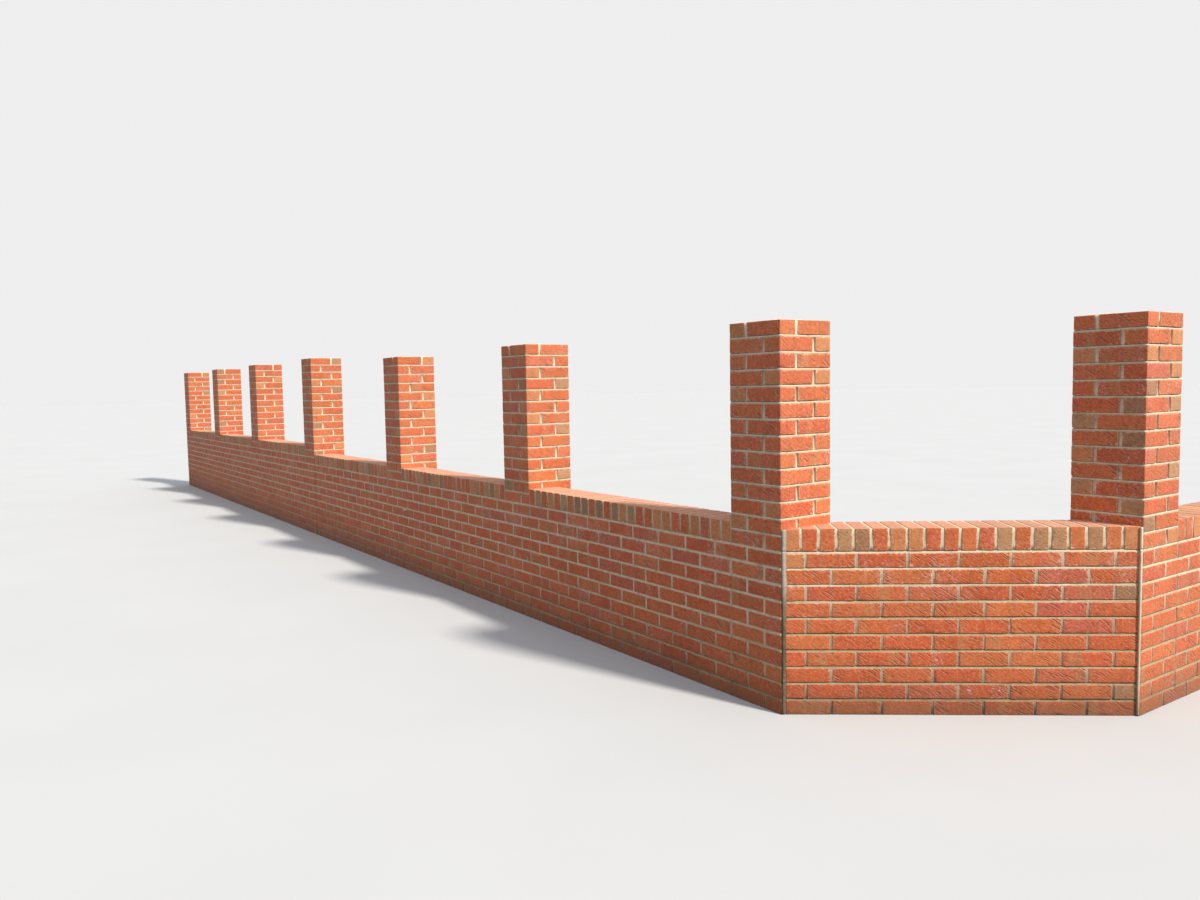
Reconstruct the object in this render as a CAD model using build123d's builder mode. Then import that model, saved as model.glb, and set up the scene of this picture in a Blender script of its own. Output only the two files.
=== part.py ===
from build123d import *
import math
import os

os.makedirs("parts", exist_ok=True)

# the brick and its mortar joint
brick_length = 215
brick_width = 102.5
brick_height = 65
joint = 10

# heights, in courses
wall_courses = 10  # under the coping, lower length
pier_courses = 24  # lower length
step_courses = 1  # the upper length stands this much higher

# front run, pier 1 at its far end and pier 7 at the corner
bay_bricks = [9.5, 9.5, 10, 10.5, 9.5, 10]  # pier centre to pier centre
last_upper_pier = 4
pier_bricks = 1.5

# corner: the splay turns off the front run, and the return turns off the splay
splay_length = 1560
splay_turn = 52
return_turn = 38
corner_setback = 10  # splay face behind the pier's arris
return_bricks = 10

# bricks on edge in the coping
front_coping_pitch = 76.9
splay_coping_count = 20
corner_seam = 12.5
coping_rake = 3  # joints stand back from the brick faces

# loose mortar bed left on top of each pier
bed_thickness = 5
bed_inset = 14

# straight movement joint beside the stepped pier
movement_gap = 10
filler_setback = 8

# sizes that follow
module = brick_length + joint
course = brick_height + joint
pier_size = pier_bricks * module - joint
half_pier = pier_size / 2
wall_thickness = brick_length
coping_height = brick_width
front_face = -half_pier
lower_wall_top = wall_courses * course
step_height = step_courses * course
lower_pier_top = pier_courses * course - joint
last_pier = len(bay_bricks) + 1

# pier centres along the front run, from pier 1 to the corner pier at the origin
pier_centres = [-module * sum(bay_bricks[number:]) for number in range(last_pier)]

# the splay's outer face, from the corner pier's end face to pier 8's end face
splay_start = Vector(half_pier, front_face + corner_setback, 0)
splay_direction = Vector(1, 0, 0).rotate(Axis.Z, splay_turn)
splay_end = splay_start + splay_direction * splay_length
return_direction = Vector(1, 0, 0).rotate(Axis.Z, splay_turn + return_turn)
return_outward = return_direction.rotate(Axis.Z, -90)
return_corner = splay_end + return_outward * corner_setback

# setting-out planes: X along the outer face, Y into the garden, Z up
front_plane = Plane(origin=(0, front_face, 0), x_dir=(1, 0, 0), z_dir=(0, 0, 1))
splay_plane = Plane(origin=splay_start, x_dir=splay_direction, z_dir=(0, 0, 1))
return_plane = Plane(origin=return_corner, x_dir=return_direction, z_dir=(0, 0, 1))

# faces that the splay is cut against, looking towards the splay
corner_pier_face = Plane(origin=(half_pier, 0, 0), z_dir=(1, 0, 0))
return_pier_face = Plane(origin=return_corner, z_dir=-return_direction)


def finish(piece, label):
    piece.part.label = label
    export_step(piece.part, f"parts/{label}.step")


def build_pier(label, plane, start, height):
    """Square pier with the thin mortar bed left on its top."""
    middle = (start + half_pier, half_pier)
    with BuildPart() as pier:
        with BuildSketch(plane):
            with Locations(middle):
                Rectangle(pier_size, pier_size)
        extrude(amount=height)
        with BuildSketch(plane.offset(height)):
            with Locations(middle):
                RectangleRounded(pier_size - 2 * bed_inset, pier_size - 2 * bed_inset, bed_inset)
        extrude(amount=bed_thickness)
    finish(pier, label)


def build_wall(label, plane, start, end, height, cuts=()):
    """Length of one-brick wall between two piers, cut where a pier stands at an angle."""
    with BuildPart() as wall:
        with BuildSketch(plane):
            with Locations((start, 0)):
                Rectangle(end - start, wall_thickness, align=(Align.MIN, Align.MIN))
        extrude(amount=height)
        for cut in cuts:
            split(bisect_by=cut, keep=Keep.TOP)
    finish(wall, label)


def build_coping(label, plane, start, end, bricks_start, bricks_end, count, bed, cuts=()):
    """Bricks on edge side by side, standing proud of the raked mortar between them."""
    brick = brick_height
    gap = (bricks_end - bricks_start - count * brick) / (count - 1)
    middle = ((bricks_start + bricks_end) / 2, wall_thickness / 2)
    with BuildPart() as coping:
        with BuildSketch(plane.offset(bed)):
            with Locations((start, coping_rake)):
                Rectangle(end - start, wall_thickness - 2 * coping_rake, align=(Align.MIN, Align.MIN))
        extrude(amount=coping_height - coping_rake)
        with BuildSketch(plane.offset(bed)):
            with Locations(middle):
                with GridLocations(brick + gap, 0, count, 1):
                    Rectangle(brick, wall_thickness)
        extrude(amount=coping_height)
        for cut in cuts:
            split(bisect_by=cut, keep=Keep.TOP)
    finish(coping, label)


# piers of the front run
for number, centre in enumerate(pier_centres, start=1):
    rise = step_height if number <= last_upper_pier else 0
    build_pier(f"pier_{number}", front_plane, centre - half_pier, lower_pier_top + rise)

# walls and copings of the front run
for number in range(1, last_pier):
    bay_start = pier_centres[number - 1] + half_pier
    bay_end = pier_centres[number] - half_pier
    if number == last_upper_pier:
        bay_start += movement_gap
    bed = lower_wall_top + (step_height if number < last_upper_pier else 0)
    count = round((bay_end - bay_start) / front_coping_pitch)
    build_wall(f"wall_bay_{number}", front_plane, bay_start, bay_end, bed)
    seam = joint / 2
    build_coping(
        f"coping_bay_{number}", front_plane, bay_start, bay_end, bay_start + seam, bay_end - seam, count, bed
    )

# splay, cut to the end faces of both corner piers
overrun = 2 * wall_thickness
splay_cuts = (corner_pier_face, return_pier_face)
build_wall("splay_wall", splay_plane, -overrun, splay_length + overrun, lower_wall_top, splay_cuts)
build_coping(
    "splay_coping",
    splay_plane,
    -overrun,
    splay_length + overrun,
    corner_seam,
    splay_length - corner_seam,
    splay_coping_count,
    lower_wall_top,
    splay_cuts,
)

# return, one bay between piers 8 and 9
return_end = return_bricks * module
return_bay_start = pier_size
build_pier(f"pier_{last_pier + 1}", return_plane, 0, lower_pier_top)
build_pier(f"pier_{last_pier + 2}", return_plane, return_end, lower_pier_top)
build_wall("return_wall", return_plane, return_bay_start, return_end, lower_wall_top)
build_coping(
    "return_coping",
    return_plane,
    return_bay_start,
    return_end,
    return_bay_start + joint / 2,
    return_end - joint / 2,
    round((return_end - return_bay_start) / front_coping_pitch),
    lower_wall_top,
)

# filler of the movement joint, between the stepped pier and the bay beside it
filler_start = pier_centres[last_upper_pier - 1] + half_pier
with BuildPart() as movement_joint:
    with BuildSketch(front_plane):
        with Locations((filler_start, filler_setback)):
            Rectangle(movement_gap, wall_thickness - 2 * filler_setback, align=(Align.MIN, Align.MIN))
    extrude(amount=lower_wall_top + coping_height - filler_setback)
finish(movement_joint, "movement_joint")
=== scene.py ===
import functools
import math
import random
from collections import namedtuple

import bmesh
import bpy
import numpy as np
from mathutils import Matrix, Vector


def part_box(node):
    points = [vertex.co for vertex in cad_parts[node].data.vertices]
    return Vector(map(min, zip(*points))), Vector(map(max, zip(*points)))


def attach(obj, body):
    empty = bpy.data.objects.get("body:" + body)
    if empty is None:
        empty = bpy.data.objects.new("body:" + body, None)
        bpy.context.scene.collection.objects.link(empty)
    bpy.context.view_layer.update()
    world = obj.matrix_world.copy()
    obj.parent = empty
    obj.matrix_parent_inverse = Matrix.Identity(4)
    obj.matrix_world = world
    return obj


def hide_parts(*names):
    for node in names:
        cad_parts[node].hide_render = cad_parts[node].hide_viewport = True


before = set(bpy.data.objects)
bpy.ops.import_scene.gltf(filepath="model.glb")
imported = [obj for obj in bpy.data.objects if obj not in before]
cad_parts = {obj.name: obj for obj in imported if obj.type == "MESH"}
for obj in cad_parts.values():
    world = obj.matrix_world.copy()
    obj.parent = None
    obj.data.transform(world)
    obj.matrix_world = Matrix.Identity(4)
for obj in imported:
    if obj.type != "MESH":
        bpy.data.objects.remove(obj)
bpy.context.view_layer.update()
print("wall frame loaded,", len(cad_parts), "nodes")

# metres throughout
brickSize = {"length": 0.215, "width": 0.1025, "height": 0.065, "joint": 0.010}
brickLength, brickWidth, brickHeight, joint = brickSize.values()
module = brickLength + joint
course = brickHeight + joint
pierSize = 1.5 * module - joint  # a brick and a half square
wallThickness = brickLength
lastUpperPier = 4  # the coping steps down beside it
steppedWall = f"wall_bay_{lastUpperPier}"

# a run is a stretch of wall: s along its outer face, d into the garden, z up
Run = namedtuple("Run", "origin along inward")
Span = namedtuple("Span", "name left right level")
Brick = namedtuple("Brick", "s0 s1 d0 d1 z0 z1 shown kind")


def makeRun(x, y, angle):
    along = np.array((math.cos(angle), math.sin(angle), 0.0))
    return Run(np.array((x, y, 0.0)), along, np.array((-along[1], along[0], 0.0)))


def runPoints(run, points):
    s, d, z = points[:, 0:1], points[:, 1:2], points[:, 2:3]
    return run.origin + s * run.along + d * run.inward + z * np.array((0.0, 0.0, 1.0))


# large factors that stir the place of a cell into a number without a pattern
cellFactors = (73856093, 19349663, 83492791)
seedFactor = 40503
stirSteps = ((13, 60493), (11, 19661))
mostBits, valueBits = 0x7FFFFFFF, 0xFFFF


# smooth noise from 0 to 1, alike on every run of the script
def latticeNoise(points, cellSize, seed):
    scaled = points / cellSize
    base = np.floor(scaled).astype(np.int64)
    part = scaled - base
    part = part * part * (3 - 2 * part)
    total = np.zeros(len(points))
    for corner in range(8):
        step = np.array((corner & 1, corner >> 1 & 1, corner >> 2 & 1))
        mixed = np.bitwise_xor.reduce((base + step) * cellFactors, axis=1) ^ seed * seedFactor
        for shift, factor in stirSteps:
            mixed = ((mixed ^ mixed >> shift) * factor) & mostBits
        value = ((mixed ^ mixed >> 15) & valueBits) / valueBits
        total += np.prod(np.where(step == 1, part, 1 - part), axis=1) * value
    return total


# coarse and fine noise together
def twoGrains(points, grains, coarseShare, seed):
    coarse, fine = (latticeNoise(points, size, seed + number) for number, size in enumerate(grains))
    return coarseShare * coarse + (1 - coarseShare) * fine


def linkMesh(name, points, faces, smooth, materialIndex):
    mesh = bpy.data.meshes.new(name)
    mesh.from_pydata(points.tolist(), [], faces)
    mesh.polygons.foreach_set("use_smooth", smooth)
    mesh.polygons.foreach_set("material_index", np.full(len(faces), materialIndex, np.int32))
    mesh.update()
    piece = bpy.data.objects.new(name, mesh)
    bpy.context.scene.collection.objects.link(piece)
    return piece


# sides between stacked loops of points, then the bottom and the top
def stackFaces(ring, loops):
    faces, top = [], (loops - 1) * ring
    for low in range(0, top, ring):
        for spot in range(ring):
            after = (spot + 1) % ring
            faces.append([low + spot, low + after, low + ring + after, low + ring + spot])
    return faces + [list(range(ring))[::-1], list(range(top, top + ring))]


def writeAttribute(piece, name, kind, domain, values):
    made = piece.data.attributes.new(name, kind, domain)
    field = "vector" if kind == "FLOAT_VECTOR" else "value"
    made.data.foreach_set(field, np.asarray(values, np.float32).ravel())


# a brick's sides in order, each with its axis and whether it is the low or the high end
brickSides = {"s0": (0, 0), "s1": (0, 1), "d0": (1, 0), "d1": (1, 1), "z0": (2, 0), "z1": (2, 1)}
brickWear = {
    "meshCell": 0.016,  # spacing of the mesh on a shown side
    "rim": 0.003,  # strip along an edge
    "gapLimit": 0.012,  # points farther from a joint count as this far
    "rounding": 0.0012,
    "roundingSpread": (0.6, 1.5),
    "edgeLoss": 0.0009,  # how far the edges wander in
    "edgeGrain": 0.016,
    "chipDepth": 0.0075,
    "chipLevel": 0.76,  # only noise above this chips an edge
    "chipGrain": 0.021,
    "relief": 0.0006,
    "reliefGrain": 0.045,
    "clearance": 0.0003,  # kept inside the true face
    "setback": 0.0005,  # how unevenly the faces stand
    "shortfall": 0.0001,  # a real brick is a little under its size
    "pierShortfall": 0.0034,
    "jointWander": 0.0006,
    "turn": 0.0016,  # radians
}


# shell of a brick: a grid on each shown side, one face on each hidden side
@functools.lru_cache(maxsize=None)
def brickShell(counts, shown):
    index, faces, faceSides = {}, [], []
    shownEnds = {brickSides[name] for name in shown}

    def vertexAt(axis, high, u, v, i, j):
        key = [0, 0, 0]
        key[axis] = counts[axis] if high else 0
        key[u], key[v] = i, j
        return index.setdefault(tuple(key), len(index))

    for number, (name, (axis, high)) in enumerate(brickSides.items()):
        u, v = (axis + 1) % 3, (axis + 2) % 3
        found = []
        if name in shown:
            for i in range(counts[u]):
                for j in range(counts[v]):
                    square = [(i, j), (i + 1, j), (i + 1, j + 1), (i, j + 1)]
                    found.append([vertexAt(axis, high, u, v, *spot) for spot in square])
        else:
            outline = []
            for edge, spots in (
                ((v, 0), [(i, 0) for i in range(counts[u])]),
                ((u, 1), [(counts[u], j) for j in range(counts[v])]),
                ((v, 1), [(i, counts[v]) for i in range(counts[u], 0, -1)]),
                ((u, 0), [(0, j) for j in range(counts[v], 0, -1)]),
            ):
                outline += spots if edge in shownEnds else spots[:1]
            found.append([vertexAt(axis, high, u, v, *spot) for spot in outline])
        for face in found:
            faces.append(face if high else face[::-1])
            faceSides.append(number)
    loopSides = np.repeat(faceSides, [len(face) for face in faces])
    return np.array(list(index)), faces, np.array(faceSides), np.concatenate(faces), loopSides


# colour of each side: the long faces are red, and the ends are mixed
clayTones = {
    "red": (208, 104, 62),
    "orangeRed": (212, 114, 69),
    "rose": (205, 107, 78),
    "orange": (208, 136, 86),
    "tan": (186, 142, 100),
    "brown": (168, 126, 90),
    "salmon": (214, 150, 114),
}
clayMix = {  # share of each tone
    "face": (0.52, 0.38, 0.10, 0, 0, 0, 0),
    "end": (0.36, 0.23, 0.04, 0.21, 0.09, 0.07, 0),
    "copingEnd": (0.32, 0.08, 0.05, 0.22, 0.18, 0.15, 0),
    "top": (0, 0, 0, 0, 0, 0, 1),
}
markedShare = {"face": 1.0, "end": 0.35, "copingEnd": 0.25, "top": 0.30}  # how much of a side is marked
limeShare = 0.10  # bricks with white strokes


def sideKind(brick, size, axis):
    if axis == 2:
        return "top"
    if size[1 - axis] > 1.2 * brickWidth:
        return "face"
    return "copingEnd" if brick.kind == "coping" else "end"


def colourSides(brick, size, rng):
    tones, coats = np.zeros((6, 3)), np.zeros((6, 3))
    shade, lime = rng.random(), float(rng.random() < limeShare)
    for number, (axis, _) in enumerate(brickSides.values()):
        kind = sideKind(brick, size, axis)
        clay = rng.choices(range(len(clayTones)), clayMix[kind])[0]
        tones[number] = ((clay + 0.5) / len(clayTones), shade, rng.random())
        coats[number] = (markedShare[kind] * rng.uniform(0.5, 1.0), lime, 0)
    return tones, coats


# which points lie on a worn edge, and how far each one is from a joint
def wearAndGap(local, facing, onEdge, size, shownEnds):
    worn = np.zeros(len(local), bool)
    gap = np.full(len(local), brickWear["gapLimit"])
    for axis, end in shownEnds:
        onSide = facing[:, axis] == (1 if end else -1)
        worn |= onSide & (onEdge > 1)
        for other, otherEnd in brickSides.values():
            if other != axis and (other, otherEnd) not in shownEnds:
                reach = size[other] - local[:, other] if otherEnd else local[:, other]
                gap = np.where(onSide, np.minimum(gap, reach), gap)
    return worn, gap


# one brick: cut to size, set a little uneven, with its colours and the place of its marks
def shapeBrick(brick, rng):
    size = np.array((brick.s1 - brick.s0, brick.d1 - brick.d0, brick.z1 - brick.z0))
    low = np.array((brick.s0, brick.d0, brick.z0))
    high = low + size
    rim = brickWear["rim"]
    lines = []
    for axis in range(3):
        if any(brickSides[side][0] != axis for side in brick.shown):
            inner = max(1, round((size[axis] - 2 * rim) / brickWear["meshCell"]))
            lines.append(np.concatenate(([0], np.linspace(rim, size[axis] - rim, inner + 1), [size[axis]])))
        else:
            lines.append(np.array((0, size[axis])))
    counts = tuple(len(line) - 1 for line in lines)
    keys, faces, faceSides, loops, loopSides = brickShell(counts, tuple(sorted(brick.shown)))
    local = np.stack([lines[axis][keys[:, axis]] for axis in range(3)], axis=1)
    facing = np.where(keys == 0, -1, np.where(keys == np.array(counts), 1, 0))
    onEdge = (facing != 0).sum(axis=1)

    shownEnds = {brickSides[side] for side in brick.shown}
    worn, gap = wearAndGap(local, facing, onEdge, size, shownEnds)

    # a shown side stays just inside the true face, a side in a joint wanders either way
    points = np.empty_like(local)
    for axis in range(3):
        losses = []
        for end in (0, 1):
            if (axis, end) in shownEnds:
                losses.append(brickWear["clearance"] + abs(rng.gauss(0, 1)) * brickWear["setback"])
            else:
                shortfall = brickWear["pierShortfall" if brick.kind == "pier" and axis < 2 else "shortfall"]
                losses.append(rng.gauss(shortfall, brickWear["jointWander"]))
        points[:, axis] = low[axis] + losses[0] + local[:, axis] * (1 - sum(losses) / size[axis])
    rounding = brickWear["rounding"] * rng.uniform(*brickWear["roundingSpread"])
    points -= facing * (rounding * (1 - 1 / np.sqrt(np.maximum(onEdge, 1))) * worn)[:, None]
    turn = np.array([rng.gauss(0, brickWear["turn"]) for _ in range(3)])
    points += np.cross(turn, points - (low + high) / 2)
    direction = np.where(worn[:, None] | (onEdge == 1)[:, None], facing, 0)

    longTop = 1 if size[1] > size[0] else 0
    uAxis = np.array((1, 1, 0, 0, longTop, longTop))[loopSides]
    vAxis = np.array((2, 2, 2, 2, 1 - longTop, 1 - longTop))[loopSides]
    u, v = local[loops, uAxis], local[loops, vAxis]
    u = np.where((loopSides == 0) | (loopSides == 3), u, size[uAxis] - u)  # counted from the right
    spots = np.stack((u, v, np.full(len(u), rng.uniform(0, 90))), axis=1)
    tones, coats = colourSides(brick, size, rng)
    isShown = np.array([end in shownEnds for end in brickSides.values()])
    lowShown, highShown = ([(axis, end) in shownEnds for axis in range(3)] for end in (0, 1))
    return {
        "points": points,
        "direction": direction,
        "worn": worn,
        "gap": gap,
        "low": np.where(lowShown, low, -np.inf) + np.zeros_like(points),
        "high": np.where(highShown, high, np.inf) + np.zeros_like(points),
        "faces": faces,
        "spots": spots,
        "tones": tones[faceSides],
        "coats": coats[faceSides],
        "smooth": isShown[faceSides],
    }


# all the bricks of a node in one mesh
def makeBricks(name, run, bricks, seed):
    rng = random.Random(seed)
    shells = [shapeBrick(brick, rng) for brick in bricks]
    keys = [key for key in shells[0] if key != "faces"]
    together = {key: np.concatenate([shell[key] for shell in shells]) for key in keys}
    faces, first = [], 0
    for shell in shells:
        faces += [[first + vertex for vertex in face] for face in shell["faces"]]
        first += len(shell["points"])
    points = together["points"]
    edge, chip, relief = (
        latticeNoise(points, brickWear[grain], seed + number)
        for number, grain in enumerate(("edgeGrain", "chipGrain", "reliefGrain"), start=1)
    )
    chips = np.clip(chip - brickWear["chipLevel"], 0, 1) * brickWear["chipDepth"]
    loss = np.where(together["worn"], edge**2 * brickWear["edgeLoss"] + chips, relief * brickWear["relief"])
    points = points - together["direction"] * loss[:, None]
    margin = brickWear["clearance"] / 2
    points = np.clip(points, together["low"] + margin, together["high"] - margin)
    points[:, 2] = np.maximum(points[:, 2], margin)
    piece = linkMesh(name, runPoints(run, points), faces, together["smooth"], 0)
    writeAttribute(piece, "brickPlace", "FLOAT_VECTOR", "CORNER", together["spots"])
    writeAttribute(piece, "brickTone", "FLOAT_VECTOR", "FACE", together["tones"])
    writeAttribute(piece, "brickCoat", "FLOAT_VECTOR", "FACE", together["coats"])
    writeAttribute(piece, "edgeGap", "FLOAT", "POINT", together["gap"])
    return piece


# how far each joint is pressed in; the upper courses are pointed fuller
mortarShape = {
    "low": {"perpend": 0.0036, "foot": 0.0018, "middle": 0.0044, "top": 0.0080},
    "high": {"perpend": 0.0025, "foot": 0.0014, "middle": 0.0032, "top": 0.0068},
    "front": {"perpend": 0.0026, "foot": 0.0014, "middle": 0.0024, "top": 0.0042},
    "pier": {"perpend": 0.0085, "foot": 0.0014, "middle": 0.0032, "top": 0.0068},
    "highFrom": 0.50,
    "frontFrom": 0.28,  # the front run is pointed fuller
    "pierFrom": 0.80,  # where the piers stand free
    "tuck": 0.003,  # above and below a bed the mortar goes in behind the bricks
    "filled": 0.0045,
    "filledFrom": 0.026,  # below a pier's top
    "coping": 0.0046,
    "splayCoping": 0.0042,
    "flat": 0.0036,  # on the tops
    "hidden": 0.0004,
    "least": (0.0022, 0.0012),  # between bricks and on a bed
    "cornerShare": 0.45,  # of a bed, at a pier's corners
    "wander": 0.0008,
    "wanderGrains": (0.024, 0.009),
    "drift": 1.1,  # share by which one joint is deeper than the next
    "driftGrain": 0.085,
    "meshCell": 0.028,
}
nearly = 0.0001  # heights this close are the same


# loops round a block of mortar: height, how far it is pressed in, whether it is on a bed
def struckRows(courses, top, isPier, isFront):
    tuck = mortarShape["tuck"]
    rows = [(0, mortarShape["low"]["perpend"], 0)]
    for number in range(1, courses + 1):
        bed, depths = number * course, mortarShape["low"]
        for kind, applies in (("high", True), ("front", isFront), ("pier", isPier)):
            if applies and bed > mortarShape[kind + "From"]:
                depths = mortarShape[kind]
        rows.append((bed - joint - tuck, depths["perpend"], 0))
        rows.append((bed - joint, depths["foot"], 1))
        rows.append((bed - 0.5 * joint, depths["middle"], 1))
        rows.append((bed, depths["top"], 1))
        rows.append((bed + tuck, depths["perpend"], 0))
    rows = [row for row in rows if row[0] < top + nearly]
    if isPier:  # its topmost joints are filled
        return rows + [(top - drop, mortarShape["filled"], 0) for drop in (mortarShape["filledFrom"], 0)]
    return rows if rows[-1][0] > top - nearly else rows + [(top, depths["perpend"], 0)]


def makeMortar(name, run, block, shown, rows, seed):
    s0, s1, d0, d1 = block
    countS = max(1, round((s1 - s0) / mortarShape["meshCell"]))
    countD = max(1, round((d1 - d0) / mortarShape["meshCell"]))
    spots = [(i / countS, 0) for i in range(countS)] + [(1, j / countD) for j in range(countD)]
    spots += [(i / countS, 1) for i in range(countS, 0, -1)]
    spots += [(0, j / countD) for j in range(countD, 0, -1)]
    spots = np.array(spots, float)
    ring = len(spots)
    facing = np.tile((spots == 1).astype(float) - (spots == 0), (len(rows), 1))
    levels, recesses, onBed = (np.repeat(column, ring) for column in zip(*rows))
    flat = np.tile(np.array((s0, d0)) + spots * np.array((s1 - s0, d1 - d0)), (len(rows), 1))
    points = np.column_stack((flat, levels))
    coarse, fine = mortarShape["wanderGrains"]
    wander = latticeNoise(points, coarse, seed) + latticeNoise(points, fine, seed + 5) - 1
    drift = 1 + mortarShape["drift"] * (latticeNoise(points, mortarShape["driftGrain"], seed + 9) - 0.5)
    least = np.array(mortarShape["least"])[onBed]
    recess = np.maximum(recesses * drift + wander * mortarShape["wander"], least)
    recess *= np.where(facing.all(axis=1) & (onBed == 1), mortarShape["cornerShare"], 1)
    for axis, (lowSide, highSide) in enumerate((("s0", "s1"), ("d0", "d1"))):
        way = facing[:, axis]
        isShown = np.where(way > 0, highSide in shown, lowSide in shown)
        points[:, axis] -= way * np.where(isShown, recess, mortarShape["hidden"])
    faces = stackFaces(ring, len(rows))
    smooth = np.arange(len(faces)) < len(faces) - 2
    piece = linkMesh(name, runPoints(run, points), faces, smooth, 1)
    writeAttribute(piece, "pressedIn", "FLOAT", "POINT", recesses * onBed / mortarShape["low"]["top"])
    return piece


topping = {
    "height": 0.0048,
    "inset": 0.007,
    "edge": 0.005,  # it falls away over this strip
    "edgeFall": 1.6,
    "depth": 0.012,
    "margin": 0.0002,
    "cells": 30,
    "grains": (0.060, 0.019),
    "coarseShare": 0.4,
    "bareBelow": 0.49,  # where the noise is lower, the bricks are bare
    "steepness": 4.5,
    "lowest": -1.2,
}


# mortar left on a pier's bare top, thickest in patches
def makeTopping(name, run, block, brickTop, seed):
    s0, s1, d0, d1 = block
    inset, height = topping["inset"], topping["height"]
    line = np.linspace(0, 1, topping["cells"] + 1)
    s, d = np.meshgrid(s0 + inset + line * (s1 - s0 - 2 * inset), d0 + inset + line * (d1 - d0 - 2 * inset))
    spots = np.stack((s.ravel(), d.ravel(), np.full(s.size, brickTop)), axis=1)
    bumps = twoGrains(spots, topping["grains"], topping["coarseShare"], seed)
    border = np.minimum(np.minimum(s - s0, s1 - s), np.minimum(d - d0, d1 - d)).ravel() - inset
    rise = np.clip((bumps - topping["bareBelow"]) * topping["steepness"], topping["lowest"], 1) * height
    spots[:, 2] += np.minimum(rise, height - topping["margin"])
    spots[:, 2] -= topping["edgeFall"] * height * np.clip(1 - border / topping["edge"], 0, 1)
    grid = np.arange(s.size).reshape(s.shape)
    squares = np.stack((grid[:-1, :-1], grid[:-1, 1:], grid[1:, 1:], grid[1:, :-1]), axis=2)
    faces = squares.reshape(-1, 4).tolist()
    rim = np.concatenate((grid[0], grid[1:, -1], grid[-1, -2::-1], grid[-2:0:-1, 0])).tolist()
    base = len(spots)
    for number, corner in enumerate(rim):
        after = (number + 1) % len(rim)
        faces.append([corner, base + number, base + after, rim[after]])
    smooth = np.arange(len(faces) + 1) < len(faces)
    faces.append([base + number for number in range(len(rim))][::-1])
    low = spots[rim] - np.array((0, 0, topping["depth"]))
    return linkMesh(name, runPoints(run, np.concatenate((spots, low))), faces, smooth, 1)


# how far the pointing reaches onto each side of a corner, how much its edge strays, and where its middle is
cornerPointing = {
    "near": {
        "pierReach": 0.0092,
        "reach": 0.017,
        "stray": 0.6,
        "lowShare": 0.75,
        "pierShare": 0.5,
        "raised": -0.0012,
        "pointedTone": 1.0,
    },
    "far": {
        "pierReach": 0.0097,
        "reach": 0.0045,
        "stray": 0.5,
        "lowShare": 1.0,
        "pierShare": 0.0,
        "raised": 0.0062,
        "pointedTone": 0.0,
    },
    "pierStray": 0.25,
    "narrowTo": 0.25,  # above this height it widens
    "widensOver": 0.30,
    "grains": (0.030, 0.011),
    "coarseShare": 0.6,
    "roughness": 0.0012,
    "rowHeight": 0.010,
    "inset": 0.0004,
    "root": (0.004, 0.003),  # how far along the splay and behind it the hidden edge lies
}


# mortar pointed into the corner between a pier's end and the splay
def pointCorner(name, setting, corner, pierWay, splayWay, bottom, top, seed):
    count = max(2, round((top - bottom) / cornerPointing["rowHeight"]))
    heights = np.linspace(bottom, top, count + 1)
    at = np.column_stack((np.tile(corner, (count + 1, 1)), heights))
    rough = twoGrains(at, cornerPointing["grains"], cornerPointing["coarseShare"], seed)
    widening = np.clip((heights - cornerPointing["narrowTo"]) / cornerPointing["widensOver"], 0, 1)
    share = widening * (1 - setting["lowShare"]) + setting["lowShare"]
    pierWay, splayWay = np.array((*pierWay, 0.0)), np.array((*splayWay, 0.0))
    pierStray = cornerPointing["pierStray"]
    onPier = at + pierWay * (setting["pierReach"] * (1 - pierStray + pierStray * rough))[:, None]
    onSplay = at + splayWay * (setting["reach"] * share * (1 + setting["stray"] * (rough - 0.5)))[:, None]
    outward = pierWay - splayWay * (pierWay @ splayWay)
    outward /= np.linalg.norm(outward)
    onSplay += outward * cornerPointing["inset"]
    middle = setting["pierShare"] * onPier + (1 - setting["pierShare"]) * onSplay
    middle += outward * (setting["raised"] + cornerPointing["roughness"] * (rough - 0.5))[:, None]
    rootAlong, rootBehind = cornerPointing["root"]
    inside = at + splayWay * rootAlong - outward * rootBehind
    points = np.stack((onPier, middle, onSplay, inside), axis=1).reshape(-1, 3)
    smooth = [True, True, False, False] * count + [False, False]  # only the two sides in sight
    piece = linkMesh(name, points, stackFaces(4, count + 1), smooth, 1)
    mesh = bmesh.new()
    mesh.from_mesh(piece.data)
    bmesh.ops.recalc_face_normals(mesh, faces=mesh.faces[:])
    mesh.to_mesh(piece.data)
    mesh.free()
    # the near corner's pointing takes its own tone: grey high up and dark low down
    writeAttribute(piece, "pointed", "FLOAT", "POINT", np.full(len(points), setting["pointedTone"]))
    return piece


shortestCut = 0.03


# lengths along a course from its starting corner
def bondLengths(reach, stretcherFirst):
    lengths, start = [], 0.0
    size = brickLength if stretcherFirst else brickWidth
    while start < reach - shortestCut:
        lengths.append((start, min(start + size, reach)))
        start += size + joint
        size = brickLength
    return lengths


# four bricks turn round a pier in each course, and turn the other way in the next
def pierCourse(left, right, stretcherAtRight):
    turned = [
        (right - brickLength, right, 0, brickWidth, {"d0", "s1"}),
        (right - brickWidth, right, brickWidth + joint, pierSize, {"s1", "d1"}),
        (left, left + brickLength, pierSize - brickWidth, pierSize, {"d1", "s0"}),
        (left, left + brickWidth, 0, brickLength, {"s0", "d0"}),
    ]
    if stretcherAtRight:
        return turned
    swap = {"s0": "s1", "s1": "s0", "d0": "d0", "d1": "d1"}
    both = left + right
    return [
        (both - s1, both - s0, d0, d1, {swap[side] for side in shown}) for s0, s1, d0, d1, shown in turned
    ]


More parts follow.
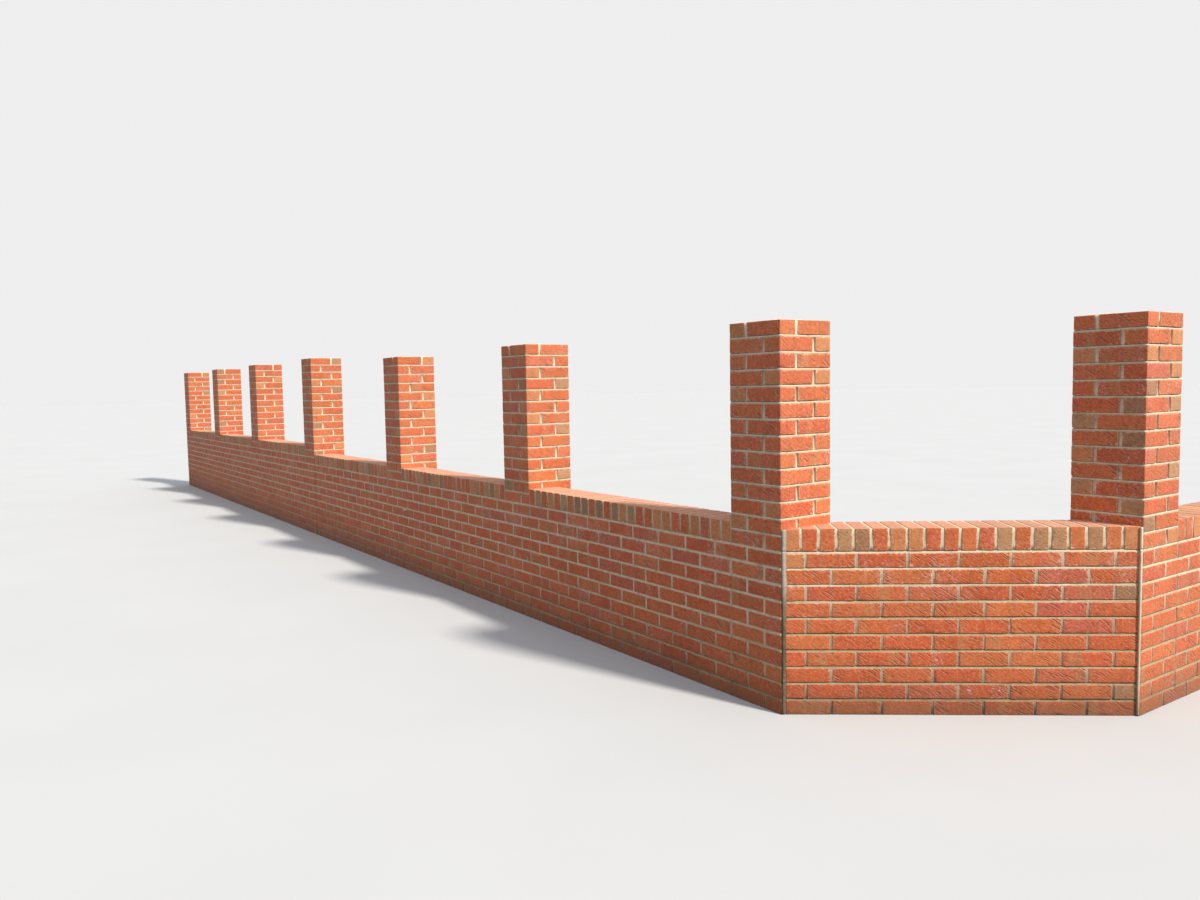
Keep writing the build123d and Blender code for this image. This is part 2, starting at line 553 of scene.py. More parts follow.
# piers, without the bricks that belong to the wall's outer face
def layPiers(piers, anchor, sign, wallCourses, layout):
    for name, left, right, brickTop in piers:
        offset = abs((right if sign < 0 else left) - anchor)
        flipped = round(offset / (module / 2)) % 2 == 1
        courses = round((brickTop + joint) / course)
        for number in range(1, courses + 1):
            z0 = (number - 1) * course
            stretcherAtRight = (number % 2 == 0) != flipped
            for s0, s1, d0, d1, shown in pierCourse(left, right, stretcherAtRight):
                if number > wallCourses or d0 > 0:
                    top = {"z1"} if number == courses else set()
                    layout[name].append(Brick(s0, s1, d0, d1, z0, z0 + brickHeight, shown | top, "pier"))


bondSetting = {"endTolerance": 0.001, "wallReach": 0.02}


# the outer face runs on through its piers
def layOuterFace(piers, walls, anchor, sign, farEnd, evenStretcherFirst, layout):
    reach = bondSetting["wallReach"]
    for number in range(1, round(walls[0].level / course) + 1):
        z0, evenCourse = (number - 1) * course, number % 2 == 0
        for t0, t1 in bondLengths(abs(farEnd - anchor), evenCourse == evenStretcherFirst):
            s0, s1 = sorted((anchor + sign * t0, anchor + sign * t1))
            middle = (s0 + s1) / 2
            pier = next((span for span in piers if span.left <= middle <= span.right), None)
            near = (span for span in walls if span.left - reach <= middle <= span.right + reach)
            name = (pier or next(near)).name
            ends = {"s0": (s0, min(anchor, farEnd)), "s1": (s1, max(anchor, farEnd))}
            tolerance = bondSetting["endTolerance"]
            shown = {side for side, (edge, limit) in ends.items() if abs(edge - limit) < tolerance}
            isEndHeader = shown and pier and s1 - s0 < 1.1 * brickWidth
            d1 = brickLength if isEndHeader else brickWidth
            layout[name].append(Brick(s0, s1, 0, d1, z0, z0 + brickHeight, shown | {"d0"}, "wall"))


# a stretch of unbroken bond, counted from its anchor, with its piers and the walls between them
def layStretch(piers, walls, anchor, sign, farEnd, evenStretcherFirst, layout):
    wallCourses = round(walls[0].level / course)
    layPiers(piers, anchor, sign, wallCourses, layout)
    layOuterFace(piers, walls, anchor, sign, farEnd, evenStretcherFirst, layout)
    for wall in walls:
        start = wall.left if wall.name == steppedWall else wall.left + joint
        for number in range(1, wallCourses + 1):
            z0, d1 = (number - 1) * course, wallThickness
            for t0, t1 in bondLengths(wall.right - joint - start, number % 2 == 0):
                place = (start + t0, start + t1, d1 - brickWidth, d1, z0, z0 + brickHeight)
                layout[wall.name].append(Brick(*place, {"d1"}, "wall"))


splaySetting = {
    "setback": 0.010,
    "overrun": 0.4,  # its blocks run into the piers and are cut back
    "seams": (0.0125, 0.003),  # from its ends to its bricks
    "brickGaps": (0.008, 0.0025),  # from the corner pier and from the return's pier
    "mortarGaps": (0.0004, 0.0004),
    "wholeBricks": (5, 6),  # in one course and in the next
    "copingBricks": 20,
}


# the splay's courses are centred, with cut bricks at both ends
def laySplay(name, length, courses, layout):
    nearSeam, farSeam = splaySetting["seams"]
    for number in range(1, courses + 1):
        z0 = (number - 1) * course
        for side, d0 in (("d0", 0), ("d1", wallThickness - brickWidth)):
            full = splaySetting["wholeBricks"][(number % 2 == 0) == (side == "d0")]
            start = length / 2 - (full * module - joint) / 2
            cuts = [(nearSeam, start - joint), (length - start + joint, length - farSeam)]
            cuts += [(start + i * module, start + i * module + brickLength) for i in range(full)]
            for s0, s1 in cuts:
                place = (s0, s1, d0, d0 + brickWidth, z0, z0 + brickHeight)
                layout[name].append(Brick(*place, {side}, "wall"))


copingSetting = {"pitch": 0.0769, "seam": 0.005}


def layCoping(name, start, end, bed, count, layout):
    pitch = (end - start - brickHeight) / (count - 1)
    for number in range(count):
        s0 = start + number * pitch
        place = (s0, s0 + brickHeight, 0, wallThickness, bed, bed + brickWidth)
        layout[name].append(Brick(*place, {"d0", "d1", "z1"}, "coping"))


# where everything stands, read from the frame
cornerLow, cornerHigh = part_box("pier_7")
returnLow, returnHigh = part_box("pier_8")
frontRun = makeRun(cornerHigh[0], cornerLow[1], 0)
returnRun = makeRun(returnHigh[0], returnLow[1], math.pi / 2)
splayStart = (cornerHigh[0], cornerLow[1] + splaySetting["setback"])
splayEnd = (returnHigh[0] - splaySetting["setback"], returnLow[1])
splayLength = math.dist(splayStart, splayEnd)
splayRun = makeRun(*splayStart, math.atan2(splayEnd[1] - splayStart[1], splayEnd[0] - splayStart[0]))

layout = {name: [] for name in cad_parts}
spans = {}


# a node's place along its run, with the top of its bricks, or the bed under a coping
def readSpan(name, run):
    low, high = (np.array(corner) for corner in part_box(name))
    s0, s1 = sorted((float((low - run.origin) @ run.along), float((high - run.origin) @ run.along)))
    depth, level = wallThickness, float(low[2] if "coping" in name else high[2])
    if name.startswith("pier"):
        depth, level = pierSize, math.floor(level / course) * course + brickHeight
    spans[name] = (run, (s0, s1, 0, depth), level)
    return Span(name, s0, s1, level)


frontPiers = [readSpan(f"pier_{number}", frontRun) for number in range(1, 8)]
frontWalls = [readSpan(f"wall_bay_{number}", frontRun) for number in range(1, 7)]
upperPiers, lowerPiers = frontPiers[:lastUpperPier], frontPiers[lastUpperPier:]
upperWalls, lowerWalls = frontWalls[: lastUpperPier - 1], frontWalls[lastUpperPier - 1 :]
layStretch(lowerPiers, lowerWalls, 0.0, -1, lowerWalls[0].left, True, layout)
layStretch(upperPiers, upperWalls, upperPiers[-1].right, -1, upperPiers[0].left, True, layout)
returnPiers = [readSpan(f"pier_{number}", returnRun) for number in (8, 9)]
layStretch(returnPiers, [readSpan("return_wall", returnRun)], 0.0, 1, returnPiers[-1].right, False, layout)

copings = [readSpan(f"coping_bay_{number}", frontRun) for number in range(1, 7)]
for name, left, right, bed in copings + [readSpan("return_coping", returnRun)]:
    seam, count = copingSetting["seam"], round((right - left) / copingSetting["pitch"])
    layCoping(name, left + seam, right - seam, bed, count, layout)

wallTop = lowerWalls[0].level
splayBlock = (-splaySetting["overrun"], splayLength + splaySetting["overrun"], 0, wallThickness)
spans["splay_wall"] = spans["splay_coping"] = (splayRun, splayBlock, wallTop)
laySplay("splay_wall", splayLength, round(wallTop / course), layout)
nearSeam, farSeam = splaySetting["seams"]
layCoping("splay_coping", nearSeam, splayLength - farSeam, wallTop, splaySetting["copingBricks"], layout)
print("bricks laid out:", sum(len(bricks) for bricks in layout.values()))


# colours are written as 0 to 255
def toLinear(colour):
    return tuple(((c / 255 + 0.055) / 1.055) ** 2.4 if c > 10 else c / 255 / 12.92 for c in colour) + (1.0,)


def setInput(tree, socket, value):
    if isinstance(value, bpy.types.NodeSocket):
        tree.links.new(value, socket)
    else:
        socket.default_value = value


def addNode(tree, kind, inputs=None, **settings):
    node = tree.nodes.new(kind)
    for key, value in settings.items():
        setattr(node, key, value)
    for key, value in (inputs or {}).items():
        setInput(tree, node.inputs[key], value)
    return node


def mixColour(tree, factor, first, second, blend="MIX"):
    node = addNode(tree, "ShaderNodeMix", {0: factor}, data_type="RGBA", blend_type=blend)
    setInput(tree, node.inputs[6], first)
    setInput(tree, node.inputs[7], second)
    return node.outputs[2]


def calc(tree, operation, first, second=0.0, clamp=False):
    inputs = {0: first, 1: second}
    return addNode(tree, "ShaderNodeMath", inputs, operation=operation, use_clamp=clamp).outputs[0]


def times(tree, first, second, clamp=False):
    return calc(tree, "MULTIPLY", first, second, clamp)


def fade(tree, value, low, high, toLow=0.0, toHigh=1.0):
    inputs = {"Value": value, "From Min": low, "From Max": high, "To Min": toLow, "To Max": toHigh}
    return addNode(tree, "ShaderNodeMapRange", inputs, interpolation_type="SMOOTHSTEP").outputs["Result"]


def noise(tree, vector, scale, detail=2.0, roughness=0.5):
    inputs = {"Vector": vector, "Scale": scale, "Detail": detail, "Roughness": roughness}
    return addNode(tree, "ShaderNodeTexNoise", inputs).outputs["Fac"]


def separate(tree, vector):
    return addNode(tree, "ShaderNodeSeparateXYZ", {0: vector}).outputs


def newGroup(name, inputs, outputs):
    tree = bpy.data.node_groups.new(name, "ShaderNodeTree")
    for label, value in inputs.items():
        kind = "NodeSocketVector" if value is None else "NodeSocketFloat"
        socket = tree.interface.new_socket(label, in_out="INPUT", socket_type=kind)
        if value is not None:
            socket.default_value = value
    for label in outputs:
        tree.interface.new_socket(label, in_out="OUTPUT", socket_type="NodeSocketFloat")
    return tree, tree.nodes.new("NodeGroupInput").outputs, tree.nodes.new("NodeGroupOutput").inputs


def placeGroup(tree, group, inputs):
    node = addNode(tree, "ShaderNodeGroup", node_tree=group)
    for key, value in inputs.items():
        setInput(tree, node.inputs[key], value)
    return node.outputs


dragSweep = {
    "slope": 34.0,  # degrees down to the right
    "bend": 0.018,  # how far the lines curve
    "spacing": 0.0085,
    "length": 0.058,
    "lipOffset": 0.0034,
    "rightReach": 0.085,  # most lines are this near the right end
    "leftPlace": 0.185,
}


# lines dragged through the soft clay, down to the right, each with a raised lip below it; each furrow is
# darkened, partly as its own mark and partly as painted shade, and each lip gets a painted highlight
def buildDragMarks():
    outputs = ("Furrow", "Lip", "Fleck", "Strokes")
    tree, given, result = newGroup("dragMarks", {"Vector": None, "Amount": 1.0}, outputs)
    u, v, seed = separate(tree, given["Vector"])
    slope = math.radians(dragSweep["slope"])
    bend = calc(tree, "SUBTRACT", noise(tree, given["Vector"], 17.0, 1.0), 0.5)
    uneven = times(tree, bend, dragSweep["bend"])
    uCos, uSin, vCos, vSin = (
        times(tree, part, turn) for part in (u, v) for turn in (math.cos(slope), math.sin(slope))
    )
    along = calc(tree, "ADD", uCos, vSin)
    across = calc(tree, "ADD", calc(tree, "SUBTRACT", vCos, uSin), uneven)

    def lines(offset, spacing, length, detail=0.8):
        place = calc(tree, "DIVIDE", along, length)
        row = calc(tree, "DIVIDE", calc(tree, "ADD", across, offset), spacing)
        spot = addNode(tree, "ShaderNodeCombineXYZ", {0: place, 1: row, 2: seed})
        return noise(tree, spot.outputs[0], 1.0, detail)

    nearRight = fade(tree, u, dragSweep["rightReach"], 0.015, 0.0, 0.15)
    fromLeft = calc(tree, "ABSOLUTE", calc(tree, "SUBTRACT", u, dragSweep["leftPlace"]))
    nearLeft = fade(tree, fromLeft, 0.035, 0.005, 0.0, 0.09)
    patch = calc(tree, "ADD", noise(tree, given["Vector"], 15.0, 1.0), calc(tree, "ADD", nearRight, nearLeft))
    shown = times(tree, fade(tree, patch, 0.50, 0.64), given["Amount"])
    spacing, length = dragSweep["spacing"], dragSweep["length"]
    furrowMarkAndShade = fade(tree, lines(0.0, spacing, length), 0.555, 0.635)
    lipHighlight = fade(tree, lines(dragSweep["lipOffset"], spacing, length), 0.555, 0.635)
    tree.links.new(times(tree, furrowMarkAndShade, shown), result["Furrow"])
    tree.links.new(times(tree, lipHighlight, shown), result["Lip"])
    tree.links.new(lines(0.002, spacing * 0.7, length * 0.22, 2.0), result["Fleck"])
    speckle = fade(tree, noise(tree, given["Vector"], 95.0, 2.0, 0.6), 0.50, 0.60)
    strokes = fade(tree, lines(0.005, spacing * 1.2, length * 0.35), 0.53, 0.62)
    tree.links.new(times(tree, strokes, speckle), result["Strokes"])
    return tree


# upright zones of differing clay along a face
def buildClayZones():
    tree, given, result = newGroup("clayZones", {"Vector": None, "Width": 0.05}, ("Tone", "Tint"))
    u, _, seed = separate(tree, given["Vector"])
    ragged = calc(tree, "SUBTRACT", noise(tree, given["Vector"], 150.0, 2.0, 0.7), 0.5)
    place = calc(tree, "ADD", u, times(tree, ragged, 0.014))
    place = calc(tree, "ADD", calc(tree, "DIVIDE", place, given["Width"]), times(tree, seed, 7.3))
    cells = addNode(tree, "ShaderNodeTexVoronoi", {"W": place, "Scale": 1.0}, voronoi_dimensions="1D")
    chance = addNode(tree, "ShaderNodeSeparateColor", {0: cells.outputs["Color"]}).outputs
    tree.links.new(chance["Red"], result["Tone"])
    tree.links.new(chance["Green"], result["Tint"])
    return tree


# sand in the clay or in the mortar
def buildSandGrain():
    tree, given, result = newGroup("sandGrain", {"Vector": None, "Grit": 700.0}, ("Grain", "Pits"))
    fine = noise(tree, given["Vector"], given["Grit"], 3.0, 0.65)
    coarse = noise(tree, given["Vector"], times(tree, given["Grit"], 0.22), 2.0)
    grain = calc(tree, "ADD", times(tree, fine, 0.6), times(tree, coarse, 0.4))
    tree.links.new(grain, result["Grain"])
    tree.links.new(fade(tree, coarse, 0.66, 0.74), result["Pits"])
    return tree


# white lime that rain brings out, in patches round one height
def buildLimeBloom():
    inputs = {"Position": None, "Level": 0.72, "Reach": 0.30, "Everywhere": 0.15}
    tree, given, result = newGroup("limeBloom", inputs, ("Mask",))
    height = separate(tree, given["Position"])["Z"]
    offset = calc(tree, "ABSOLUTE", calc(tree, "SUBTRACT", height, given["Level"]))
    near = calc(tree, "SUBTRACT", 1.0, calc(tree, "DIVIDE", offset, given["Reach"]), clamp=True)
    strength = calc(tree, "MAXIMUM", near, given["Everywhere"])
    patches = fade(tree, noise(tree, given["Position"], 5.5, 3.0, 0.6), 0.47, 0.66)
    crust = fade(tree, noise(tree, given["Position"], 62.0, 3.5, 0.7), 0.46, 0.66)
    mask = times(tree, times(tree, patches, crust), strength)
    tree.links.new(mask, result["Mask"])
    return tree


# earth thrown up by rain along the foot of the wall
def buildGroundSplash():
    tree, given, result = newGroup("groundSplash", {"Position": None, "Reach": 0.16}, ("Mask",))
    height = separate(tree, given["Position"])["Z"]
    uneven = times(tree, noise(tree, given["Position"], 9.0, 3.0, 0.6), given["Reach"])
    level = calc(tree, "DIVIDE", calc(tree, "SUBTRACT", height, uneven), given["Reach"])
    dots = fade(tree, noise(tree, given["Position"], 110.0, 2.0, 0.6), 0.52, 0.62)
    spread = times(tree, times(tree, dots, fade(tree, level, 1.6, 0.0)), 0.5)
    tree.links.new(calc(tree, "MAXIMUM", fade(tree, level, 0.55, -0.35), spread), result["Mask"])
    return tree


dragMarks, clayZones, sandGrain = buildDragMarks(), buildClayZones(), buildSandGrain()
limeBloom, groundSplash = buildLimeBloom(), buildGroundSplash()

# a layer of colour: its tone and strength, and the values at which it begins and is full
Layer = namedtuple("Layer", "tone strength start full", defaults=(None, None))
# the same, but it darkens what is below it to these shares
Shade = namedtuple("Shade", "tone strength start full", defaults=(None, None))


def layOn(tree, colour, value, layer):
    if layer.start is None:
        mask = times(tree, value, layer.strength, True)
    else:
        mask = fade(tree, value, layer.start, layer.full, 0.0, layer.strength)
    if isinstance(layer, Shade):
        return mixColour(tree, mask, colour, layer.tone + (1.0,), "MULTIPLY")
    return mixColour(tree, mask, colour, toLinear(layer.tone))


def newMaterial(name):
    material = bpy.data.materials.new(name)
    material.use_nodes = True
    shader = material.node_tree.nodes["Principled BSDF"]
    shader.inputs["Specular IOR Level"].default_value = 0.2
    return material, material.node_tree, shader


def readAttribute(tree, name, output="Vector"):
    return addNode(tree, "ShaderNodeAttribute", attribute_name=name).outputs[output]


# dust pales what is seen at a low angle
dustSheen = {"Sheen Weight": 0.18, "Sheen Roughness": 0.50, "Sheen Tint": (1.0, 0.86, 0.70, 1.0)}


def finishSurface(tree, shader, colour, grain, height, finish):
    for label, value in dustSheen.items():
        shader.inputs[label].default_value = value
    bump = addNode(tree, "ShaderNodeBump", {"Height": height, "Strength": 0.9, "Distance": finish["depth"]})
    roughness = fade(tree, grain, 0.3, 0.7, finish["roughest"] - 0.14, finish["roughest"])
    tree.links.new(colour, shader.inputs["Base Color"])
    tree.links.new(roughness, shader.inputs["Roughness"])
    tree.links.new(bump.outputs["Normal"], shader.inputs["Normal"])


brickFinish = {
    "lightness": (0.93, 1.06),
    "zoneLightness": (-0.06, 0.06),
    "hue": (0.497, 0.504),
    "zoneWidth": 0.044,
    "sandyFrom": 0.925,  # zones above this are sandy
    "rosyTo": 0.04,  # and zones below this are rosy
    "limedRosy": 0.32,  # with so many more on a limed brick
    "thin": (0.35, 0.60, 0.35, 0.75),
    "smearReach": (0.42, 0.74, 0.0004, 0.0055),
    "smearRise": (0.46, 0.66, 0.85, 1.3),  # the upper courses are smeared more
    "splashReach": 0.11,
    "grit": 620.0,
    "depth": 0.0015,
    "roughest": 0.96,
    "sandy": Layer((194, 136, 90), 1.0),
    "rosy": Layer((198, 112, 92), 0.8),
    "cloud": Shade((0.66, 0.56, 0.50), 0.26, 0.42, 0.72),
    "upperPaintedLight": Layer((230, 170, 146), 0.07, 0.85, 1.10),  # painted light: the free-standing piers are paler, as in strong sun
    "sand": Shade((0.58, 0.48, 0.44), 0.22, 0.35, 0.70),
    "lightFleck": Layer((240, 156, 116), 0.42, 0.53, 0.68),
    "darkFleck": Layer((112, 46, 30), 0.40, 0.46, 0.30),
    "pit": Layer((120, 58, 40), 0.40),
    # painted highlight on each lip; the furrow's dark is partly its own mark and partly painted shade
    "lipHighlight": Layer((240, 156, 116), 0.55),
    "furrowMarkAndShade": Layer((112, 46, 30), 0.62),
    "smear": Layer((218, 194, 162), 0.66, 0.0006, -0.0006),
    "haze": Layer((238, 218, 204), 0.34),
    "stroke": Layer((238, 218, 204), 1.1),
    "earth": Layer((146, 106, 76), 0.42),
    "damp": Shade((0.10, 0.20, 0.25), 0.32, 0.28, 0.0),  # the lowest courses are darker
}


def buildBrickMaterial(name, finish, bloom):
    material, tree, shader = newMaterial(name)
    spot = readAttribute(tree, "brickPlace")
    clay, shade, lift = separate(tree, readAttribute(tree, "brickTone"))
    marked, limed, _ = separate(tree, readAttribute(tree, "brickCoat"))
    position = addNode(tree, "ShaderNodeTexCoord").outputs["Object"]
    level = separate(tree, position)["Z"]

    ramp = addNode(tree, "ShaderNodeValToRGB", {"Fac": clay})
    ramp.color_ramp.interpolation = "CONSTANT"
    stops = ramp.color_ramp.elements
    stops.remove(stops[-1])
    for number, tone in enumerate(clayTones.values()):
        stop = stops.new(number / len(clayTones)) if number else stops[0]
        stop.color = toLinear(tone)
    zones = placeGroup(tree, clayZones, {"Vector": spot, "Width": finish["zoneWidth"]})
    zoneTone = times(tree, fade(tree, zones["Tone"], 0, 1, *finish["zoneLightness"]), marked)
    value = calc(tree, "ADD", fade(tree, lift, 0, 1, *finish["lightness"]), zoneTone)
    turned = {"Color": ramp.outputs["Color"], "Hue": fade(tree, shade, 0, 1, *finish["hue"]), "Value": value}
    colour = addNode(tree, "ShaderNodeHueSaturation", turned).outputs["Color"]

    # sandy and rosy zones, thin where the clay is cloudy
    cloud = noise(tree, spot, 26.0, 3.0, 0.6)
    thin = fade(tree, cloud, *finish["thin"])
    sandy = times(tree, calc(tree, "GREATER_THAN", zones["Tint"], finish["sandyFrom"]), thin)
    rosyTo = calc(tree, "ADD", times(tree, limed, finish["limedRosy"]), finish["rosyTo"])
    rosy = times(tree, calc(tree, "LESS_THAN", zones["Tint"], rosyTo), thin)
    rosy = times(tree, rosy, marked)

    # mortar smeared over the joint edges
    reach = fade(tree, noise(tree, position, 75.0, 3.0, 0.65), *finish["smearReach"])
    reach = times(tree, reach, fade(tree, level, *finish["smearRise"]))

    marks = placeGroup(tree, dragMarks, {"Vector": spot, "Amount": marked})
    sand = placeGroup(tree, sandGrain, {"Vector": position, "Grit": finish["grit"]})
    grain, splash = sand["Grain"], {"Position": position, "Reach": finish["splashReach"]}
    for layer, value in (
        ("sandy", times(tree, sandy, marked)),
        ("rosy", rosy),
        ("cloud", cloud),
        ("upperPaintedLight", level),
        ("sand", grain),
        ("lightFleck", marks["Fleck"]),
        ("darkFleck", marks["Fleck"]),
        ("pit", sand["Pits"]),
        ("lipHighlight", marks["Lip"]),
        ("furrowMarkAndShade", marks["Furrow"]),
        ("smear", calc(tree, "SUBTRACT", readAttribute(tree, "edgeGap", "Fac"), reach)),
        ("haze", placeGroup(tree, limeBloom, {"Position": position, **bloom})["Mask"]),
        ("stroke", times(tree, times(tree, marks["Strokes"], limed), rosy)),
        ("earth", placeGroup(tree, groundSplash, splash)["Mask"]),
        ("damp", level),
    ):
        colour = layOn(tree, colour, value, finish[layer])

    height = calc(tree, "SUBTRACT", times(tree, marks["Lip"], 0.45), marks["Furrow"])
    height = calc(tree, "ADD", height, times(tree, marks["Fleck"], 0.9))
    height = calc(tree, "ADD", height, times(tree, grain, 0.45))
    finishSurface(tree, shader, colour, grain, height, finish)
    return material


mortarFinish = {
    "cream": (230, 203, 170),
    "olive": (192, 159, 119),
    "pointedHigh": (180, 168, 150),
    "pointedLow": (98, 84, 62),
    "creamFrom": 0.40,  # the joints are paler above this height
    "creamTo": 0.66,
    "frontDrop": 0.26,  # and on the front run lower down too
    "drift": 0.55,  # how far the change strays in height
    "bloom": {"Level": 0.76, "Reach": 0.30, "Everywhere": 0.25},
    "splashReach": 0.15,
    "stainRelief": 0.6,
    "grit": 520.0,
    "depth": 0.0010,
    "roughest": 0.98,
    "upright": Layer((248, 230, 202), 0.5, 0.20, 0.05),  # painted light: the upright joints are paler, to make up for the light their upright face misses
    "stain": Layer((136, 116, 90), 0.5, 0.50, 0.76),
    "sand": Shade((0.52, 0.48, 0.42), 0.35, 0.38, 0.66),
    # painted shade, with some dirt, in the deep top of each bed joint under the brick above
    "recessShadeAndDirt": Layer((82, 66, 48), 0.62, 0.54, 0.85),
    "lime": Layer((232, 220, 202), 0.9),
    "earth": Layer((118, 96, 70), 0.65),
}


def buildMortarMaterial(name, finish):
    material, tree, shader = newMaterial(name)
    position = addNode(tree, "ShaderNodeTexCoord").outputs["Object"]
    height = separate(tree, position)["Z"]
    grain = placeGroup(tree, sandGrain, {"Vector": position, "Grit": finish["grit"]})["Grain"]
    drift = calc(tree, "SUBTRACT", noise(tree, position, 2.6, 3.0, 0.6), 0.5)
    level = calc(tree, "ADD", height, times(tree, drift, finish["drift"]))
    lower = times(tree, readAttribute(tree, "onFront", "Fac"), finish["frontDrop"])
    pale = fade(tree, calc(tree, "ADD", level, lower), finish["creamFrom"], finish["creamTo"])
    colour = mixColour(tree, pale, toLinear(finish["olive"]), toLinear(finish["cream"]))
    pressedIn = readAttribute(tree, "pressedIn", "Fac")
    colour = layOn(tree, colour, pressedIn, finish["upright"])
    # the near corner's pointing is grey high up and dark low down
    pointed = mixColour(tree, pale, toLinear(finish["pointedLow"]), toLinear(finish["pointedHigh"]))
    colour = mixColour(tree, readAttribute(tree, "pointed", "Fac"), colour, pointed)
    stain = noise(tree, position, 21.0, 3.0, 0.65)
    lime = placeGroup(tree, limeBloom, {"Position": position, **finish["bloom"]})["Mask"]
    splash = placeGroup(tree, groundSplash, {"Position": position, "Reach": finish["splashReach"]})["Mask"]
    # the recess layer is painted shade and dirt in the bed joints
    layers = {"stain": stain, "sand": grain, "recessShadeAndDirt": pressedIn, "lime": lime, "earth": splash}
    for layer, value in layers.items():
        colour = layOn(tree, colour, value, finish[layer])
    heights = calc(tree, "ADD", grain, times(tree, stain, finish["stainRelief"]))
    finishSurface(tree, shader, colour, grain, heights, finish)
    return material


fillerFinish = {
    "dark": (78, 72, 62),
    "pale": Layer((120, 112, 98), 1.0, 0.3, 0.7),
    "grit": 300.0,
    "depth": 0.0008,
    "roughest": 0.90,
}


def buildFillerMaterial(name, finish):
    material, tree, shader = newMaterial(name)
    position = addNode(tree, "ShaderNodeTexCoord").outputs["Object"]
    grain = placeGroup(tree, sandGrain, {"Vector": position, "Grit": finish["grit"]})["Grain"]
    streak = noise(tree, position, 30.0, 3.0, 0.6)
    colour = layOn(tree, toLinear(finish["dark"]), streak, finish["pale"])
    finishSurface(tree, shader, colour, streak, grain, finish)
    return material


wallBloom = {"Level": 0.68, "Reach": 0.24, "Everywhere": 0.10}
copingBloom = {"Level": 0.84, "Reach": 0.12, "Everywhere": 0.25}
wallBrick = buildBrickMaterial("wallBrick", brickFinish, wallBloom)
copingBrick = buildBrickMaterial("copingBrick", brickFinish, copingBloom)
mortarMaterial = buildMortarMaterial("mortar", mortarFinish)
fillerMaterial = buildFillerMaterial("jointFiller", fillerFinish)
print("materials built")


# the splay is cut back to the faces of both piers it meets
def cutBack(piece, gaps):
    planes = [
        (Vector((cornerHigh[0] + gaps[0], 0, 0)), Vector((-1, 0, 0))),
        (Vector((0, returnLow[1] - gaps[1], 0)), Vector((0, 1, 0))),
    ]
    mesh = bmesh.new()
    mesh.from_mesh(piece.data)
    for spot, outward in planes:
        everything = mesh.verts[:] + mesh.edges[:] + mesh.faces[:]
        cut = bmesh.ops.bisect_plane(mesh, geom=everything, plane_co=spot, plane_no=outward, clear_outer=True)
        rim = [item for item in cut["geom_cut"] if isinstance(item, bmesh.types.BMEdge)]
        bmesh.ops.holes_fill(mesh, edges=rim, sides=0)
    mesh.to_mesh(piece.data)
    mesh.free()


def joinPieces(name, parts, brickMaterial):
    for part in parts:
        part.data.materials.append(brickMaterial)
        part.data.materials.append(mortarMaterial)
    with bpy.context.temp_override(active_object=parts[0], selected_editable_objects=parts):
        bpy.ops.object.join()
    parts[0].name = parts[0].data.name = name
    return parts[0]


copingRise = brickWidth - mortarShape["flat"]
pointedFrom = 0.002  # the corner pointing starts just clear of the ground


def mortarRows(name, level):
    if "coping" in name:
        recess = mortarShape["splayCoping" if name.startswith("splay") else "coping"]
        return [(level + copingRise * step / 4, recess, 1) for step in range(5)]
    isFront = spans[name][0] is frontRun
    if name.startswith("pier"):
        return struckRows(round((level + joint) / course), level - mortarShape["flat"], True, isFront)
    return struckRows(round(level / course), level, False, isFront)


def pointSplay(name, bottom, top):
    along, (near, far) = splayRun.along[:2], (cornerPointing[end] for end in ("near", "far"))
    return [
        pointCorner(name + "_cornerA", near, splayStart, (0, -1), along, bottom, top, 3),
        pointCorner(name + "_cornerB", far, splayEnd, (1, 0), -along, bottom, top, 6),
    ]


def buildBrickwork(name, seed):
    run, block, level = spans[name]
    isPier, isCoping, isSplay = name.startswith("pier"), "coping" in name, name.startswith("splay")
    shown = {"s0", "s1", "d0", "d1"} if isPier else {"d0", "d1"}
    if name == steppedWall:
        shown.add("s0")
    bricks = makeBricks(name + "_bricks", run, layout[name], seed)
    mortar = makeMortar(name + "_mortar", run, block, shown, mortarRows(name, level), seed)
    writeAttribute(mortar, "onFront", "FLOAT", "POINT", [run is frontRun] * len(mortar.data.vertices))
    parts = [bricks, mortar]
    if isPier:
        parts.append(makeTopping(name + "_topping", run, block, level, seed))
    if isSplay:
        cutBack(bricks, splaySetting["brickGaps"])
        cutBack(mortar, splaySetting["mortarGaps"])
        bottom, top = (level, level + copingRise) if isCoping else (pointedFrom, level)
        parts += pointSplay(name, bottom, top)
    piece = joinPieces(name + "_brickwork", parts, copingBrick if isCoping else wallBrick)
    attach(piece, "root")
    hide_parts(name)
    piece.data.calc_loop_triangles()
    return len(piece.data.loop_triangles)


triangles = {name: buildBrickwork(name, seed) for seed, name in enumerate(sorted(spans), start=11)}
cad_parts["movement_joint"].material_slots[0].material = fillerMaterial
print("brickwork built:", sum(triangles.values()), "triangles, largest piece", max(triangles.values()))


# pale floor that takes the wall's shadow, but throws back little light
floorSetting = {
    "size": 400.0,
    "colour": (199, 198, 195),
    "bounce": (96, 94, 92),
    "patchScale": 0.8,
    "patch": Shade((0.5, 0.5, 0.5), 0.05, 0.3, 0.7),
    "roughness": 0.9,
}


def seenDirectly(tree):
    rays = addNode(tree, "ShaderNodeLightPath").outputs
    seen = calc(tree, "MAXIMUM", rays["Is Camera Ray"], rays["Is Glossy Ray"])
    return calc(tree, "MAXIMUM", seen, rays["Is Transmission Ray"])


